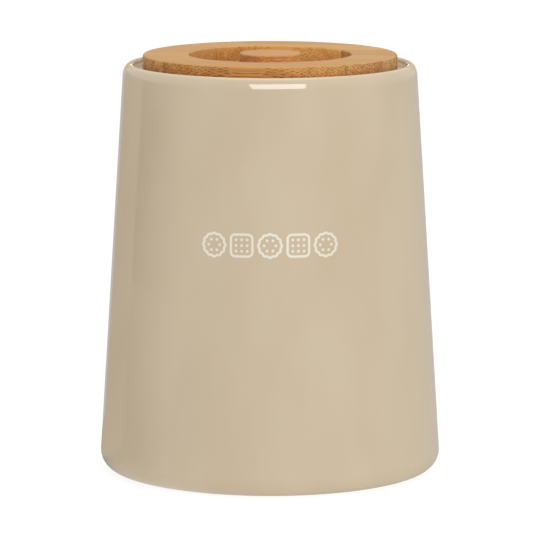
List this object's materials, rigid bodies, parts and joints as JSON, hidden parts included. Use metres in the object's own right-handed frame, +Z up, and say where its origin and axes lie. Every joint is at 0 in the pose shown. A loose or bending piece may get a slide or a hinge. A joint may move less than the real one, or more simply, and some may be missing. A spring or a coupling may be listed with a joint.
{
  "type": "biscuit canister",
  "caption": "Tapered glazed ceramic canister with a lift-off laminated bamboo lid, whose sealed plug sits in the throat and whose round finger recess holds a knob.",
  "frame": {"origin": "middle of the foot ring, on the table", "axes": "+Z up along the axis of the canister, +X along the lid's strips but for a few degrees, -Y towards the viewer of the picture"},
  "size_m": [0.1626, 0.1626, 0.2],
  "materials": {
    "glaze": "gloss glaze, warm beige",
    "ring_bamboo": "satin oiled bamboo",
    "plug_bamboo": "satin oiled bamboo",
    "knob_bamboo": "satin oiled bamboo",
    "seal_silicone": "milky silicone"
  },
  "bodies": {
    "canister": {"canister": "glaze"},
    "lid": {"lid_ring_strip_1": "ring_bamboo", "lid_ring_strip_2": "ring_bamboo", "lid_ring_strip_3": "ring_bamboo", "lid_ring_strip_4": "ring_bamboo", "lid_ring_strip_5": "ring_bamboo", "lid_ring_strip_6": "ring_bamboo", "lid_plug_strip_1": "plug_bamboo", "lid_plug_strip_2": "plug_bamboo", "lid_plug_strip_3": "plug_bamboo", "lid_plug_strip_4": "plug_bamboo", "lid_plug_strip_5": "plug_bamboo", "lid_knob": "knob_bamboo", "lid_seal": "seal_silicone"}
  },
  "joints": [
    {"name": "lid_lift", "type": "slide", "parent": "canister", "child": "lid", "axis": [0, 0, 1], "range_m": [0, 0.06]}
  ]
}
